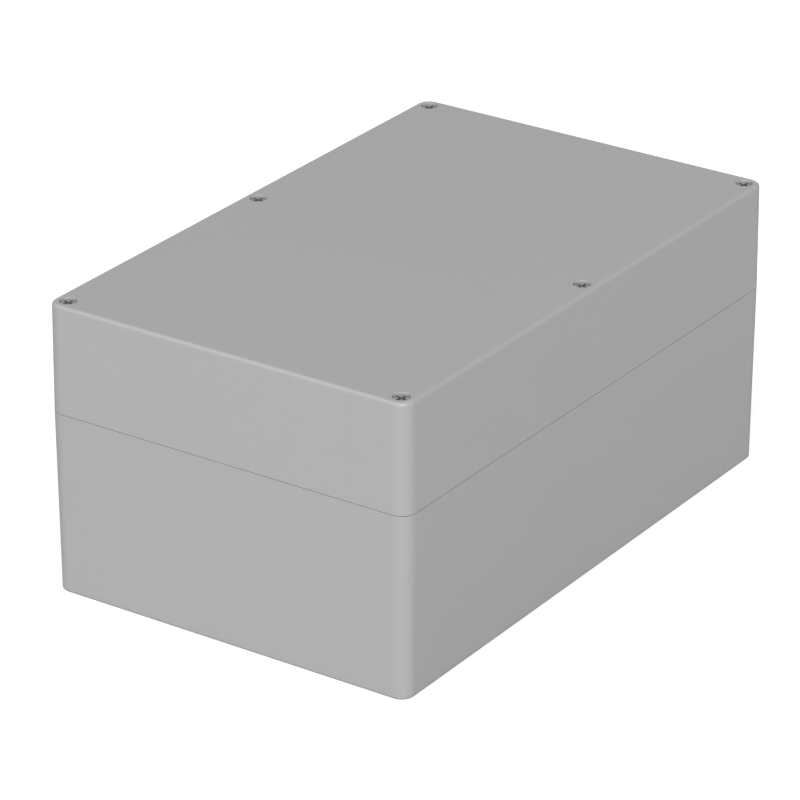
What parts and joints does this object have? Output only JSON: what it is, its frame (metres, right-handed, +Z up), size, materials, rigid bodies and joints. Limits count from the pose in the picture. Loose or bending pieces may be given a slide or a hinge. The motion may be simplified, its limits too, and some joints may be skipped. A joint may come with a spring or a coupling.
{
  "type": "polycarbonate enclosure",
  "caption": "Rectangular sealed polycarbonate housing for electronics: a deep lid on a deeper base, closed by captive cross-recess screws sunk in the lid.",
  "frame": {"origin": "centre of the base's underside, on the surface that the enclosure stands on", "axes": "+X along the length, +Y across the width, +Z up through the lid"},
  "size_m": [0.25, 0.16, 0.1178],
  "materials": {
    "housing": "light grey moulded polycarbonate, smooth satin",
    "seal": "black silicone rubber cord",
    "screw_steel": "stainless steel, turned",
    "insert_brass": "plain brass, turned"
  },
  "bodies": {
    "base": {"base": "housing", "column_insert_front_left": "insert_brass", "column_insert_front_middle": "insert_brass", "column_insert_front_right": "insert_brass", "column_insert_rear_left": "insert_brass", "column_insert_rear_middle": "insert_brass", "column_insert_rear_right": "insert_brass", "floor_insert_front_left": "insert_brass", "floor_insert_front_middle": "insert_brass", "floor_insert_front_right": "insert_brass", "floor_insert_rear_left": "insert_brass", "floor_insert_rear_middle": "insert_brass", "floor_insert_rear_right": "insert_brass"},
    "lid": {"lid": "housing", "gasket": "seal"},
    "lid_screw_front_left": {"lid_screw_front_left": "screw_steel"},
    "lid_screw_front_middle": {"lid_screw_front_middle": "screw_steel"},
    "lid_screw_front_right": {"lid_screw_front_right": "screw_steel"},
    "lid_screw_rear_left": {"lid_screw_rear_left": "screw_steel"},
    "lid_screw_rear_middle": {"lid_screw_rear_middle": "screw_steel"},
    "lid_screw_rear_right": {"lid_screw_rear_right": "screw_steel"}
  },
  "joints": [
    {"name": "lid_lift", "type": "slide", "parent": "base", "child": "lid", "axis": [0, 0, 1], "range_m": [0, 0.12]},
    {"name": "lid_screw_front_left_lift", "type": "slide", "parent": "lid", "child": "lid_screw_front_left", "axis": [0, 0, 1], "range_m": [0, 0.01]},
    {"name": "lid_screw_front_middle_lift", "type": "slide", "parent": "lid", "child": "lid_screw_front_middle", "axis": [0, 0, 1], "range_m": [0, 0.01]},
    {"name": "lid_screw_front_right_lift", "type": "slide", "parent": "lid", "child": "lid_screw_front_right", "axis": [0, 0, 1], "range_m": [0, 0.01]},
    {"name": "lid_screw_rear_left_lift", "type": "slide", "parent": "lid", "child": "lid_screw_rear_left", "axis": [0, 0, 1], "range_m": [0, 0.01]},
    {"name": "lid_screw_rear_middle_lift", "type": "slide", "parent": "lid", "child": "lid_screw_rear_middle", "axis": [0, 0, 1], "range_m": [0, 0.01]},
    {"name": "lid_screw_rear_right_lift", "type": "slide", "parent": "lid", "child": "lid_screw_rear_right", "axis": [0, 0, 1], "range_m": [0, 0.01]}
  ]
}
